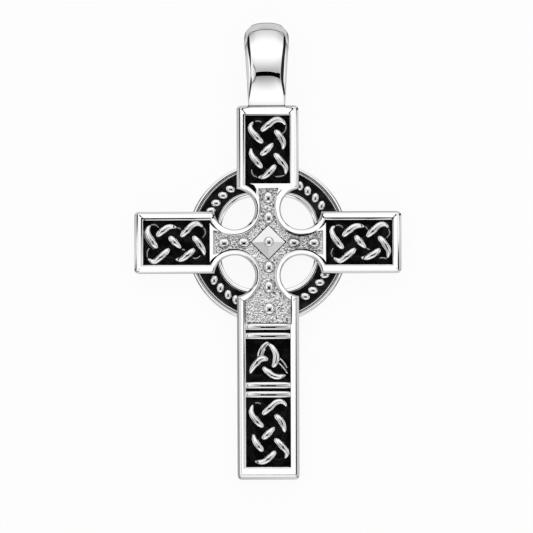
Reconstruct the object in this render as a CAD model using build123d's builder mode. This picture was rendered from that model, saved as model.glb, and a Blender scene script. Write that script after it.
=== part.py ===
from build123d import *
import os

# Celtic cross pendant, lying on its back: X to the right, Y up the pendant, Z out of its face.
# The origin is the middle of the ring, on the back of the plate. All sizes are in millimetres.

# Arms, measured outwards from the middle of the ring
arm_width = 6.75
rail_width = 0.92
hub_top = 5.9
hub_side = 5.8
hub_foot = 8.93
ledge_width = 0.6
knot_top_length = 7.39
knot_side_length = 7.32
knot_foot_length = 7.66
top_rail = 1.11
side_rail = 0.98
foot_rail = 1.39
triquetra_height = 4.76
crossbar_width = 0.68
groove_width = 0.32
corner_radius = 0.5

# Round armpits between the arms
armpit_offset = 3.66
armpit_radius = 2.25
armpit_rail = 0.68

# Ring
ring_radius = 8.9
ring_outer_rim = 0.75
ring_band_width = 1.75
ring_inner_rim = 0.6
rim_bevel = 0.15

# Levels above the back
ring_floor = 1.0
panel_floor = 1.35
hub_floor = 1.7
ring_crest = 1.9
crossbar_crest = 2.2
rail_crest = 2.4
rail_bevel = 0.2

# Enamel
enamel_depth = 0.2
enamel_gap = 0.02

# Raised strands of the knots and of the triquetra, sunk a little into the panel's floor
strand_sink = 0.03
strand_dip = 0.55
knot_radius = 0.33
knot_pitch = 2.6
triquetra_radius = 0.3
triquetra_low_radius = 0.2
triquetra_reach = 2.15

# Beads and pyramid of the hub
hub_bead_radius = 0.5
hub_bead_rise = 0.2
inner_bead_reach = 2.72
outer_bead_reach = 4.9
foot_bead_radius = 0.55
foot_bead_reach = 7.3
pyramid_reach = 1.83
pyramid_height = 0.8
pyramid_tip = 0.12

# Oval beads of the ring, with angles in degrees
ring_bead_margin = 0.325
ring_bead_width = 0.8
ring_bead_height = 0.6
ring_bead_round = 0.25
ring_bead_slant = 40.0
ring_bead_first = 34.6
ring_bead_step = 8.7
ring_bead_count = 4

# Bail
bail_height = 9.2
bail_drop = 4.7
bail_width = 4.85
bail_foot_width = 4.07
bail_arch = 1.4
bail_depth = 5.2
bail_wall = 1.0
bail_hole_corner = 0.4

# Places along the arms that follow from the sizes above
panel_half = arm_width / 2 - rail_width
top_panel_start = hub_top + ledge_width
top_reach = top_panel_start + knot_top_length + top_rail
side_panel_start = hub_side + ledge_width
side_reach = side_panel_start + knot_side_length + side_rail
pair_width = 2 * crossbar_width + groove_width
triquetra_start = hub_foot + pair_width
triquetra_end = triquetra_start + triquetra_height
foot_panel_start = triquetra_end + pair_width
foot_panel_end = foot_panel_start + knot_foot_length
foot_reach = foot_panel_end + foot_rail
crossbar_reaches = [
    hub_foot + crossbar_width / 2,
    triquetra_start - crossbar_width / 2,
    triquetra_end + crossbar_width / 2,
    foot_panel_start - crossbar_width / 2,
]
groove_reaches = {
    "upper": hub_foot + pair_width / 2,
    "lower": triquetra_end + pair_width / 2,
}
ring_band_outer = ring_radius - ring_outer_rim
ring_band_inner = ring_band_outer - ring_band_width
ring_inner_radius = ring_band_inner - ring_inner_rim
ring_bead_length = ring_band_width - 2 * ring_bead_margin
bail_top = top_reach + bail_height
bail_middle = bail_top - bail_drop

# Place of the square panel's middle and of each knot panel's middle, with the knot's length and turn
triquetra_place = Location((0, -(triquetra_start + triquetra_end) / 2))
knot_panels = {
    "top": (0, top_panel_start + knot_top_length / 2, knot_top_length, 90),
    "left": (-side_panel_start - knot_side_length / 2, 0, knot_side_length, 0),
    "right": (side_panel_start + knot_side_length / 2, 0, knot_side_length, 0),
    "foot": (0, -foot_panel_start - knot_foot_length / 2, knot_foot_length, 90),
}
# Signs of X and Y for the four quarters between the arms
quarters = {"ne": (1, 1), "nw": (-1, 1), "sw": (-1, -1), "se": (1, -1)}

# Raised passes of half a knot: start, middle and end along and across it, in shares of knot_pitch.
# The other half is the same, turned by 180 degrees.
knot_passes = [
    ((-1.02, 0.70), (-1.15, 0.38), (-0.80, -0.25)),
    ((-0.80, 0.28), (-0.40, 0.60), (0.02, 0.64)),
    ((0.18, 0.26), (0.72, 0.74), (1.15, 0.62)),
]
# The pass in the middle of the knot, which is its own turned half
knot_heart = ((-0.27, 0.25), (0.0, 0.0), (0.27, -0.25))
# One high and one low pass of the triquetra, in shares of triquetra_reach, made three times
triquetra_high_pass = ((0.0, 1.0), (0.44, 0.28), (0.2, -0.27))
triquetra_low_pass = ((-0.04, 0.96), (-0.33, 0.55), (-0.42, 0.3))


def strand(points, scale, turn, radius, growth):
    """A round bar that rises out of the floor, peaks at its middle point and dives in again."""
    start, middle, end = [Vector(x, y).rotate(Axis.Z, turn) * scale for x, y in points]
    peak = panel_floor + radius - strand_sink
    low = peak - strand_dip
    with BuildPart() as bar:
        with BuildLine() as path:
            ThreePointArc((start.X, start.Y, low), (middle.X, middle.Y, peak), (end.X, end.Y, low))
        with BuildSketch(Plane(origin=path.line @ 0, z_dir=path.line % 0)):
            Circle(radius + growth)
        sweep(path=path.line)
    return bar.part


def knot(growth):
    """The raised passes of one knot along X about the origin, each thicker by this growth."""
    bars = [strand(knot_heart, knot_pitch, 0, knot_radius, growth)]
    for turn in (0, 180):
        bars += [strand(row, knot_pitch, turn, knot_radius, growth) for row in knot_passes]
    return bars


def triquetra(growth):
    """The passes of the triquetra about the origin, each thicker by this growth."""
    bars = []
    for turn in (0, 120, 240):
        bars.append(strand(triquetra_high_pass, triquetra_reach, turn, triquetra_radius, growth))
        bars.append(strand(triquetra_low_pass, triquetra_reach, turn, triquetra_low_radius, growth))
    return bars


def ring_bead_places():
    """The places of all the ring's beads, each quarter's set turned from the one before."""
    reach = (ring_band_inner + ring_band_outer) / 2
    places = []
    for quarter in range(4):
        for number in range(ring_bead_count):
            angle = 90 * quarter + ring_bead_first + ring_bead_step * number
            spot = Vector(reach, 0).rotate(Axis.Z, angle)
            places.append(Location((spot.X, spot.Y), angle + ring_bead_slant))
    return places


def write(shape, name):
    shape.label = name
    export_step(shape, f"parts/{name}.step")


os.makedirs("parts", exist_ok=True)
knot_bars = knot(0)
knot_cutters = knot(enamel_gap)
triquetra_bars = triquetra(0)
triquetra_cutters = triquetra(enamel_gap)
armpits = [(x * armpit_offset, y * armpit_offset) for x, y in quarters.values()]

# One oval bead with a rounded top, at the hub's middle until it is placed on the ring's sunk band
with BuildPart() as ring_bead:
    with BuildSketch(Plane.XY.offset(ring_floor)):
        Ellipse(ring_bead_length / 2, ring_bead_width / 2)
    extrude(amount=ring_bead_height)
    fillet(edges().group_by(Axis.Z)[-1], ring_bead_round)

# The bail: a flat back, half an ellipse in front, and an arched outline that narrows to its foot
with BuildPart() as bail:
    with BuildSketch(Plane.YZ.offset(-bail_width / 2)):
        with Locations((bail_middle, bail_wall)):
            Ellipse(bail_drop, bail_depth - bail_wall)
        split(bisect_by=Plane.XZ.offset(-bail_wall), keep=Keep.BOTTOM)
        with Locations((bail_middle, bail_wall / 2)):
            Rectangle(2 * bail_drop, bail_wall)
        fillet(vertices().group_by(Axis.X)[-1].sort_by(Axis.Y)[0], bail_wall)
    extrude(amount=bail_width)
    with BuildSketch():
        with BuildLine():
            shoulder = bail_top - bail_arch
            foot = bail_middle - bail_drop
            arch = EllipticalCenterArc((0, shoulder), bail_width / 2, bail_arch, 0, arc_size=180)
            Polyline(arch @ 1, (-bail_foot_width / 2, foot), (bail_foot_width / 2, foot), arch @ 0)
        make_face()
    extrude(amount=bail_depth, mode=Mode.INTERSECT)
    with BuildSketch(Plane.YZ.offset(-bail_width / 2)):
        with Locations((bail_middle, bail_wall)):
            Ellipse(bail_drop - bail_wall, bail_depth - 2 * bail_wall)
        split(bisect_by=Plane.XZ.offset(-bail_wall), keep=Keep.BOTTOM)
        fillet(vertices(), bail_hole_corner)
    extrude(amount=bail_width, mode=Mode.SUBTRACT)

with BuildPart() as cross:
    # Ring with a sunk band between its two rims
    with BuildSketch():
        Circle(ring_radius)
        Circle(ring_inner_radius, mode=Mode.SUBTRACT)
    extrude(amount=ring_crest)
    with BuildSketch(Plane.XY.offset(ring_floor)):
        Circle(ring_band_outer)
        Circle(ring_band_inner, mode=Mode.SUBTRACT)
    extrude(amount=ring_crest - ring_floor, mode=Mode.SUBTRACT)
    chamfer(edges().group_by(Axis.Z)[-1], rim_bevel)
    # Plate of the four arms with the armpits open
    with BuildSketch():
        with Locations((0, (top_reach - foot_reach) / 2)):
            Rectangle(arm_width, top_reach + foot_reach)
        Rectangle(2 * side_reach, arm_width)
        tips = vertices().group_by(Axis.Y)[0] + vertices().group_by(Axis.Y)[-1]
        tips += vertices().group_by(Axis.X)[0] + vertices().group_by(Axis.X)[-1]
        fillet(tips, corner_radius)
        with Locations(*armpits):
            Circle(armpit_radius, mode=Mode.SUBTRACT)
    extrude(amount=rail_crest)
    # Sunk knot panels, and one sink for the square panel and the crossbars
    with BuildSketch(Plane.XY.offset(panel_floor)):
        for x, y, length, turn in knot_panels.values():
            with Locations(Location((x, y), turn)):
                Rectangle(length, 2 * panel_half)
        with Locations((0, -(hub_foot + foot_panel_start) / 2)):
            Rectangle(2 * panel_half, foot_panel_start - hub_foot)
    extrude(amount=rail_crest - panel_floor, mode=Mode.SUBTRACT)
    # Hub field, bounded by the armpit rails and by a ledge at the root of each arm
    with BuildSketch(Plane.XY.offset(hub_floor)):
        Rectangle(2 * hub_side, 2 * panel_half)
        with Locations((0, (hub_top - hub_foot) / 2)):
            Rectangle(2 * panel_half, hub_top + hub_foot)
        with Locations(*armpits):
            Circle(armpit_radius + armpit_rail, mode=Mode.SUBTRACT)
    extrude(amount=rail_crest - hub_floor, mode=Mode.SUBTRACT)
    chamfer(edges().group_by(Axis.Z)[-1], rail_bevel)
    # Half-round crossbars between the side rails
    with BuildSketch(Plane.YZ.offset(-panel_half)):
        bar_level = crossbar_crest - crossbar_width / 2
        for reach in crossbar_reaches:
            with Locations((-reach, bar_level)):
                Circle(crossbar_width / 2)
            with Locations((-reach, (panel_floor + bar_level) / 2)):
                Rectangle(crossbar_width, bar_level - panel_floor)
    extrude(amount=2 * panel_half)
    # Raised knots and triquetra
    for x, y, length, turn in knot_panels.values():
        with Locations(Location((x, y), turn)):
            add(knot_bars)
    with Locations(triquetra_place):
        add(triquetra_bars)
    # Beads of the ring, the hub and the foot, and the pyramid with its bead
    with Locations(*ring_bead_places()):
        add(ring_bead.part)
    with Locations((0, 0, hub_floor + hub_bead_rise)):
        for reach in (inner_bead_reach, outer_bead_reach):
            with PolarLocations(reach, 4):
                Sphere(hub_bead_radius)
    with Locations((0, -foot_bead_reach, hub_floor + hub_bead_rise)):
        Sphere(foot_bead_radius)
    with BuildSketch(Plane.XY.offset(hub_floor)):
        RegularPolygon(pyramid_reach, 4)
    with BuildSketch(Plane.XY.offset(hub_floor + pyramid_height)):
        RegularPolygon(pyramid_tip, 4)
    loft()
    with Locations((0, 0, hub_floor + pyramid_height)):
        Sphere(hub_bead_radius)
    add(bail.part)

write(cross.part, "cross")

# Black fill of each knot panel, lying on the panel's floor round the raised passes
for name, (x, y, length, turn) in knot_panels.items():
    with BuildPart() as panel_fill:
        with BuildSketch(Plane.XY.offset(panel_floor)):
            with Locations(Location((x, y), turn)):
                Rectangle(length - 2 * enamel_gap, 2 * (panel_half - enamel_gap))
        extrude(amount=enamel_depth)
        with Locations(Location((x, y), turn)):
            add(knot_cutters, mode=Mode.SUBTRACT)
    write(panel_fill.part, f"enamel_{name}")

with BuildPart() as triquetra_fill:
    with BuildSketch(Plane.XY.offset(panel_floor)):
        with Locations(triquetra_place):
            Rectangle(2 * (panel_half - enamel_gap), triquetra_height - 2 * enamel_gap)
    extrude(amount=enamel_depth)
    with Locations(triquetra_place):
        add(triquetra_cutters, mode=Mode.SUBTRACT)
write(triquetra_fill.part, "enamel_triquetra")

# Black line between the two crossbars of each pair
for name, reach in groove_reaches.items():
    with BuildPart() as groove_fill:
        with BuildSketch(Plane.XY.offset(panel_floor)):
            with Locations((0, -reach)):
                Rectangle(2 * (panel_half - enamel_gap), groove_width - 2 * enamel_gap)
        extrude(amount=enamel_depth)
    write(groove_fill.part, f"enamel_groove_{name}")

# Black fill of each quarter of the ring, up to the arms and into the open armpit
for name, (x, y) in quarters.items():
    start = arm_width / 2 + enamel_gap
    with BuildPart() as ring_fill:
        with BuildSketch(Plane.XY.offset(ring_floor)):
            with Locations((x * (start + ring_radius / 2), y * (start + ring_radius / 2))):
                Rectangle(ring_radius, ring_radius)
            with Locations((x * armpit_offset, y * armpit_offset)):
                Circle(armpit_radius - enamel_gap)
        extrude(amount=enamel_depth)
        with BuildSketch(Plane.XY.offset(ring_floor)):
            Circle(ring_band_outer - enamel_gap)
            Circle(ring_band_inner + enamel_gap, mode=Mode.SUBTRACT)
            with Locations(*ring_bead_places()):
                Ellipse(
                    ring_bead_length / 2 + enamel_gap,
                    ring_bead_width / 2 + enamel_gap,
                    mode=Mode.SUBTRACT,
                )
        extrude(amount=enamel_depth, mode=Mode.INTERSECT)
    write(ring_fill.part, f"enamel_ring_{name}")
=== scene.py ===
import math

import bmesh
import bpy
import numpy as np
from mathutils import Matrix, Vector
from mathutils.geometry import delaunay_2d_cdt


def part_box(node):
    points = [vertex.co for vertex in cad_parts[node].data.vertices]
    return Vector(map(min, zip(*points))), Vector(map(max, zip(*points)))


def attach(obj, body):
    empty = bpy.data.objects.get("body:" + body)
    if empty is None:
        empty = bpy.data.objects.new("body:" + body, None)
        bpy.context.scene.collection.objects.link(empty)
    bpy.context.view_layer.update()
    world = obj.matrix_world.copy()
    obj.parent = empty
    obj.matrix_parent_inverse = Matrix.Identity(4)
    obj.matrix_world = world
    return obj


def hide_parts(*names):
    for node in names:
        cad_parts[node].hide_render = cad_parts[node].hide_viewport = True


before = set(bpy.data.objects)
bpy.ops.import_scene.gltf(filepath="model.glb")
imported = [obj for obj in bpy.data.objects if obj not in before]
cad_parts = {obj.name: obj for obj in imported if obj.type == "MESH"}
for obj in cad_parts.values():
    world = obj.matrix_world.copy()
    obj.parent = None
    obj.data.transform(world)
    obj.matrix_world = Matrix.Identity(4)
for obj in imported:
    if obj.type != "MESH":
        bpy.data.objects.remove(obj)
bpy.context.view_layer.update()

# Plate: the flat silver casting of the four arms. Its outer edges are bevelled, and frame rails stand round
# the sunk panels and round the hub. It is cast in one with all that is silver here, then filed and polished.
# Sizes are in millimetres and angles in degrees; vertices and the values of the trees are in metres.
ARM_HALF, PANEL_HALF, TIP_ROUND = 3.41, 2.455, 0.5
TOP_RAIL, SIDE_RAIL, TOP_GROWN, FILL_GAP = 1.09, 0.98, 0.1, 0.02
ARMPIT_OFFSET, ARMPIT_RADIUS, ARMPIT_RAIL = 3.66, 2.25, 0.68
RAIL_CREST, PANEL_FLOOR = 2.4, 1.3
SIDE_BEVEL, TOP_BEVEL, UNDER_BEVEL, FOOT_BEVEL, ARMPIT_BEVEL = 0.4, 0.24, 0.22, 0.5, 0.26
WEST_WIDER, SOUTH_WIDER, BEVEL_SPARED, BEVEL_FADE = 0.9, 0.45, 0.5, 8
EDGE_DROP, ROUND_EDGE, SMALL_EDGE, LEDGE_EDGE, EDGE_TAPER = 0.12, 0.28, 0.15, 0.035, 0.022
NECK_HALF, SIDE_NECK, NARROW_TIP, WIDE_TIP = 1.04, 58.5, 47.0, 60.0
TIP_STEPS, ARMPIT_STEPS, GROOVE_STEPS, EDGE_STEPS = 8, 72, 14, 7


class Wire:
    """A socket's value in a node tree. Its operators add Math nodes, so that sums of values read as sums."""

    def __init__(self, tree, socket):
        self.tree, self.socket = tree, socket

    def math(self, operation, *terms):
        settings = {"operation": operation}
        return node(self.tree, "ShaderNodeMath", settings, dict(enumerate(terms)))

    def __add__(self, other):
        return self.math("ADD", self, other)

    def __radd__(self, other):
        return self.math("ADD", other, self)

    def __sub__(self, other):
        return self.math("SUBTRACT", self, other)

    def __rsub__(self, other):
        return self.math("SUBTRACT", other, self)

    def __mul__(self, other):
        return self.math("MULTIPLY", self, other)

    def __rmul__(self, other):
        return self.math("MULTIPLY", other, self)

    def __truediv__(self, other):
        return self.math("DIVIDE", self, other)

    def __pow__(self, other):
        return self.math("POWER", self, other)

    def __abs__(self):
        return self.math("ABSOLUTE", self)

    def ramp(self, start, end, low=0.0, high=1.0):
        """This value carried smoothly from start..end over to low..high."""
        sockets = {"Value": self, "From Min": start, "From Max": end, "To Min": low, "To Max": high}
        return node(self.tree, "ShaderNodeMapRange", {"interpolation_type": "SMOOTHSTEP"}, sockets)


def node(tree, kind, settings=None, sockets=None, output=0):
    """Adds a node, makes its settings, fills its sockets with values or wires, and returns one output."""
    made = tree.nodes.new(kind)
    for name, value in (settings or {}).items():
        setattr(made, name, value)
    for name, value in (sockets or {}).items():
        if isinstance(value, Wire):
            tree.links.new(value.socket, made.inputs[name])
        else:
            made.inputs[name].default_value = value
    return Wire(tree, made.outputs[output]) if made.outputs else None


def mixed(tree, share, first, second):
    """A colour between two colours or wires, by a share."""
    return node(tree, "ShaderNodeMix", {"data_type": "RGBA"}, {0: share, 6: first, 7: second}, 2)


def started(name):
    """A new material with an empty tree, and the place on the piece that its patterns read."""
    material = bpy.data.materials.new(name)
    material.use_nodes = True
    material.node_tree.nodes.clear()
    return material, material.node_tree, node(material.node_tree, "ShaderNodeTexCoord", output="Object")


def metal(name, color, roughness, grain, depth, specks=0.0, tint=0.3):
    """Silver whose roughness drifts a little over the surface, and whose skin has fine grain. Specks is how
    much of the darkening is left in its pits, and tint how bright it stays at a glancing angle."""
    material, tree, place = started(name)
    cloud = node(tree, "ShaderNodeTexNoise", None, {"Vector": place, "Scale": 260.0, "Detail": 3.0})
    fine = node(tree, "ShaderNodeTexNoise", None, {"Vector": place, "Scale": grain, "Detail": 2.0})
    bump = node(tree, "ShaderNodeBump", None, {"Strength": 0.25, "Distance": depth, "Height": fine})
    if specks:
        pits = node(tree, "ShaderNodeTexNoise", None, {"Vector": place, "Scale": 5200.0, "Detail": 1.0})
        shade = pits.ramp(0.56, 0.66) * cloud.ramp(0.35, 0.65, 0.4, 1.0) * specks
        color = mixed(tree, shade, color, (0.03, 0.03, 0.03, 1.0))
    shader = node(tree, "ShaderNodeBsdfPrincipled", None, {
        "Base Color": color,
        "Metallic": 1.0,
        "Specular Tint": (tint, tint, tint, 1.0),
        "Roughness": cloud.ramp(0.3, 0.7, roughness * 0.7, roughness * 1.3),
        "Normal": bump,
    })
    node(tree, "ShaderNodeOutputMaterial", None, {"Surface": shader})
    return material


# Slots on the plate and the bail: polished silver; a darker copy of it that is painted shade; and near-black
# silver that is painted shadow and painted reflection there.
BRIGHT, PAINTED_SHADE, PAINTED_DARK = 0, 1, 2
silver = metal("polished_silver", (0.95, 0.95, 0.955, 1.0), 0.045, 9000.0, 0.000002)
# A darker copy of the polished silver: painted shade on the plate's outer walls and bevels, and on the bail's
# flanks, side walls and rear.
painted_shade_silver = metal("painted_shade_silver", (0.64, 0.64, 0.645, 1.0), 0.1, 9000.0, 0.000004)
# Near-black silver. It is black oxide on the knots' low stretches, the field line and the line round the
# pyramid. As the third slot of the plate and the bail it is painted shadow and painted reflection.
oxide_and_painted_dark = metal("oxide_and_painted_dark_silver", (0.014, 0.014, 0.0145, 1.0), 0.35, 9000.0, 0.00002, tint=0.05)


def arc(centre, radius, start, end, count):
    """Points along a circle's arc, between two angles in degrees."""
    angles = np.radians(np.linspace(start, end, count + 1))
    return np.stack([centre[0] + radius * np.cos(angles), centre[1] + radius * np.sin(angles)], axis=1)


def turned(points, angle):
    """Plan points turned about the origin by an angle in degrees."""
    c, s = math.cos(math.radians(angle)), math.sin(math.radians(angle))
    return np.asarray(points) @ np.array([[c, s], [-s, c]])


def inset(loop, widths):
    """The points of a closed loop moved to the left, each by the widths of the two edges that meet there, or
    by one width for all."""
    widths = np.broadcast_to(widths, len(loop))
    ahead = np.roll(loop, -1, axis=0) - loop
    ahead /= np.linalg.norm(ahead, axis=1)[:, None]
    after = np.stack([-ahead[:, 1], ahead[:, 0]], axis=1)
    before = np.roll(after, 1, axis=0)
    wide_before = np.roll(widths, 1)
    moved = []
    for i, point in enumerate(loop):
        sine = before[i][0] * after[i][1] - before[i][1] * after[i][0]
        if abs(sine) > 0.3:
            shift = np.linalg.solve([before[i], after[i]], [wide_before[i], widths[i]])
        else:
            middle = before[i] + after[i]
            shift = middle / max(middle @ middle, 0.3) * (wide_before[i] + widths[i])
        reach = np.linalg.norm(shift)
        limit = 2.5 * max(wide_before[i], widths[i])
        moved.append(point + shift * min(1.0, limit / max(reach, 1e-9)))
    return np.array(moved)


def rounded(corners, steps=5):
    """A line through corners, each given as across, up and a radius, with arcs at the corners."""
    line = [np.array(corners[0][:2], float)]
    for before, corner, after in zip(corners, corners[1:], corners[2:]):
        middle, radius = np.array(corner[:2], float), corner[2]
        if radius == 0:
            line.append(middle)
            continue
        back, on = np.array(before[:2]) - middle, np.array(after[:2]) - middle
        back, on = back / np.linalg.norm(back), on / np.linalg.norm(on)
        half = math.acos(np.clip(back @ on, -1, 1)) / 2
        reach = radius / math.tan(half)
        hub = middle + (back + on) / np.linalg.norm(back + on) * radius / math.sin(half)
        for step in range(steps + 1):
            spread = step / steps
            spoke = (back * (1 - spread) + on * spread) * reach + middle - hub
            line.append(hub + spoke / np.linalg.norm(spoke) * radius)
    line.append(np.array(corners[-1][:2], float))
    return np.array(line)


def ring_of(bm, points, height):
    """Vertices of one level of a piece, from plan points in millimetres."""
    heights = np.broadcast_to(height, len(points))
    return [bm.verts.new((x / 1000, y / 1000, z / 1000)) for (x, y), z in zip(points, heights)]


def bridge(bm, lower, upper, index=0):
    """Quads between two closed rows of vertices, with one material's index or one for each."""
    count = len(lower)
    indexes = np.broadcast_to(index, count)
    for i in range(count):
        j = (i + 1) % count
        bm.faces.new((lower[i], lower[j], upper[j], upper[i])).material_index = int(indexes[i])


def inside(point, loop):
    """True where a plan point lies within a closed loop."""
    x, y = point
    after = np.roll(loop, -1, axis=0)
    spans = (loop[:, 1] > y) != (after[:, 1] > y)
    first, second = loop[spans], after[spans]
    crossing = first[:, 0] + (y - first[:, 1]) * (second[:, 0] - first[:, 0]) / (second[:, 1] - first[:, 1])
    return np.count_nonzero(crossing > x) % 2 == 1


def cap(bm, *rows):
    """Flat triangles inside the first closed row of vertices and outside the others."""
    verts = [vert for row in rows for vert in row]
    loops = [np.array([vert.co.xy for vert in row]) * 1000 for row in rows]
    edges, first = [], 0
    for row in rows:
        edges += [(first + i, first + (i + 1) % len(row)) for i in range(len(row))]
        first += len(row)
    plan = [Vector(point) for loop in loops for point in loop]
    places, _, faces, origins, _, _ = delaunay_2d_cdt(plan, edges, [], 1, 1e-6)
    for corners in faces:
        middle = np.mean([places[i] for i in corners], axis=0)
        if inside(middle, loops[0]) and not any(inside(middle, loop) for loop in loops[1:]):
            bm.faces.new([verts[origins[i][0]] for i in corners])


def piece(name, bm, materials, crease=32):
    """Turns a built mesh into a piece of the pendant that shades smoothly up to the crease angle."""
    bmesh.ops.recalc_face_normals(bm, faces=bm.faces)
    mesh = bpy.data.meshes.new(name)
    bm.to_mesh(mesh)
    bm.free()
    mesh.shade_smooth()
    mesh.set_sharp_from_angle(angle=math.radians(crease))
    for material in materials:
        mesh.materials.append(material)
    made = bpy.data.objects.new(name, mesh)
    bpy.context.scene.collection.objects.link(made)
    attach(made, "root")
    return made


def panel_ends(name, axis):
    """How far from the hub a black panel starts and ends along an axis, up to its rails."""
    low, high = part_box("enamel_" + name)
    ends = sorted((abs(low[axis] * 1000), abs(high[axis] * 1000)))
    return ends[0] - FILL_GAP, ends[1] + FILL_GAP


panel_axes = {"right": 0, "top": 1, "left": 0, "foot": 1}
panel_spans = {name: panel_ends(name, axis) for name, axis in panel_axes.items()}
panel_spans["top"] = (panel_spans["top"][0], panel_spans["top"][1] + TOP_GROWN)
side_reach = panel_spans["right"][1] + SIDE_RAIL
top_reach = panel_spans["top"][1] + TOP_RAIL
foot_reach = -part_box("cross")[0].y * 1000
armpit_end = math.degrees(math.asin((ARM_HALF - ARMPIT_OFFSET) / ARMPIT_RADIUS))
armpit_corner = ARMPIT_OFFSET + ARMPIT_RADIUS * math.cos(math.radians(armpit_end))

# The outline runs to the left of its own metal: out along each arm, round its tip, back, and round an armpit.
arms = [
    (0, side_reach, UNDER_BEVEL, SIDE_BEVEL, TOP_BEVEL),
    (90, top_reach, SIDE_BEVEL, TOP_BEVEL, SIDE_BEVEL),
    (180, side_reach, TOP_BEVEL, SIDE_BEVEL, UNDER_BEVEL),
    (270, foot_reach, SIDE_BEVEL, FOOT_BEVEL, SIDE_BEVEL),
]
outline, sharp, sharp_widths, corner_of = [], [], [], []
for angle, reach, before, tip, after in arms:
    inner = reach - TIP_ROUND
    first = arc((inner, TIP_ROUND - ARM_HALF), TIP_ROUND, -90, 0, TIP_STEPS)
    second = arc((inner, ARM_HALF - TIP_ROUND), TIP_ROUND, 0, 90, TIP_STEPS)
    middle = (ARMPIT_OFFSET, ARMPIT_OFFSET)
    armpit = arc(middle, ARMPIT_RADIUS, armpit_end, -270 - armpit_end, ARMPIT_STEPS)[:-1]
    root = [(armpit_corner, -ARM_HALF)]
    start = len(sharp_widths)
    corner_of += [start] + [start + 1] * (TIP_STEPS + 1) + [start + 2] * (TIP_STEPS + 1)
    corner_of += range(start + 3, start + 3 + ARMPIT_STEPS)
    outline.append(turned(np.concatenate([root, first, second, armpit]), angle))
    sharp.append(turned(np.concatenate([root, [(reach, -ARM_HALF), (reach, ARM_HALF)], armpit]), angle))
    sharp_widths += [before, tip, after] + [ARMPIT_BEVEL] * ARMPIT_STEPS
outline, sharp = np.concatenate(outline), np.concatenate(sharp)
sharp_widths = np.array(sharp_widths)

# An armpit's bevel is filed wider where it faces west or south, and this fades out towards its ends.
ahead = np.roll(sharp, -1, axis=0) - sharp
ahead /= np.linalg.norm(ahead, axis=1)[:, None]
faces_west, faces_south = np.maximum(0, -ahead[:, 1]) ** 1.5, np.maximum(0, ahead[:, 0]) ** 1.5
place = np.arange(3 + ARMPIT_STEPS)
from_root = np.minimum(place - 3, place[::-1])
filed = np.tile(np.clip((from_root - 3) / BEVEL_FADE, 0, 1), len(arms))
sharp_widths *= 1 + filed * (WEST_WIDER * faces_west + SOUTH_WIDER * faces_south - BEVEL_SPARED)


def outline_inside(share):
    """The outline moved in by a share of its bevels. Its rounded corners get tighter on the way."""
    corners = inset(sharp, sharp_widths * share)
    tighter = np.clip(1 - share * sharp_widths / TIP_ROUND, 0.02, 1)
    return corners[corner_of] + (outline - sharp[corner_of]) * tighter[corner_of][:, None]


def arm_recess(start, end, lower_gap, upper_gap):
    """A sunk panel on an arm along X. Beside each armpit rail it runs on as a groove that ends in a tip."""
    ring = ARMPIT_RADIUS + ARMPIT_RAIL
    corner = math.degrees(math.asin((ARMPIT_OFFSET - PANEL_HALF) / ring))
    sides, widths = [], []
    for sign, gap in ((-1, lower_gap), (1, upper_gap)):
        tip = NARROW_TIP if gap < 0.3 else WIDE_TIP
        if gap:
            along = arc((ARMPIT_OFFSET, -ARMPIT_OFFSET), ring, corner, tip, GROOVE_STEPS)
            spread = ring + gap * (1 - np.linspace(0.0, 0.85, GROOVE_STEPS - 2))
            angles = np.radians(np.linspace(corner + 3.0, tip, GROOVE_STEPS - 2))
            back = (spread * (np.cos(angles), np.sin(angles))).T + (ARMPIT_OFFSET, -ARMPIT_OFFSET)
            back = np.concatenate([[(start, back[0][1])], back[back[:, 0] < start - SMALL_EDGE]])
            side = np.concatenate([along, back[::-1]])
            narrowing = list(np.linspace(SMALL_EDGE, LEDGE_EDGE, GROOVE_STEPS))
            width = narrowing + [LEDGE_EDGE] * (len(side) - GROOVE_STEPS)
        else:
            side, width = np.array([(start, -PANEL_HALF)]), [LEDGE_EDGE]
        if sign > 0:
            side, width = side[::-1] * (1, -1), [LEDGE_EDGE] + width[::-1][1:]
            width = width[:-1] + [SMALL_EDGE]
        sides.append(side)
        widths += width
    loop = np.concatenate([[(end, PANEL_HALF), (end, -PANEL_HALF)]] + sides)
    return loop, np.array([SMALL_EDGE] * 2 + widths)


def hub_recess(foot):
    """The hub's field and the long recess of the foot arm, down to the given end."""
    ring = ARMPIT_RADIUS + ARMPIT_RAIL
    neck = math.degrees(math.asin(NECK_HALF / ring))
    corner = math.degrees(math.acos((ARMPIT_OFFSET - PANEL_HALF) / ring))
    c = ARMPIT_OFFSET
    rows = [
        ([(-1.02, 5.92), (1.14, 5.98), (0.93, 5.0)], LEDGE_EDGE),
        (arc((c, c), ring, 180 - neck, 360 - SIDE_NECK, 44), 0.2),
        ([(6.0, 1.28), (6.0, -1.28)], 0.09),
        (arc((c, -c), ring, SIDE_NECK, 180 + corner, 60), 0.2),
        ([(PANEL_HALF, -foot), (-PANEL_HALF, -foot)], SMALL_EDGE),
        (arc((-c, -c), ring, -corner, 180 - SIDE_NECK, 60), 0.2),
        ([(-5.95, -1.28), (-5.95, 1.28)], 0.09),
        (arc((-c, c), ring, SIDE_NECK - 180, neck, 44), 0.2),
        ([(-0.93, 5.0)], LEDGE_EDGE),
    ]
    loop = np.concatenate([points for points, _ in rows])
    widths = []
    for points, width in rows:
        from_end = np.minimum(np.arange(len(points)), np.arange(len(points))[::-1])
        taper = LEDGE_EDGE + EDGE_TAPER * from_end if len(points) > 10 else np.full(len(points), width)
        widths.append(np.minimum(width, taper))
    return loop, np.concatenate(widths)


def soften(loop, widths):
    """Rounds the rails above and to the left of a recess wider than the others, but not the topmost one."""
    ahead = np.roll(loop, -1, axis=0) - loop
    length = np.linalg.norm(ahead, axis=1)
    up_left = (ahead[:, 0] + ahead[:, 1]) / length
    long_edge = (length > 2.0) & (widths == SMALL_EDGE) & (up_left > 0.5) & (loop[:, 1] < 11.0)
    return np.where(long_edge, ROUND_EDGE, widths)


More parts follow.
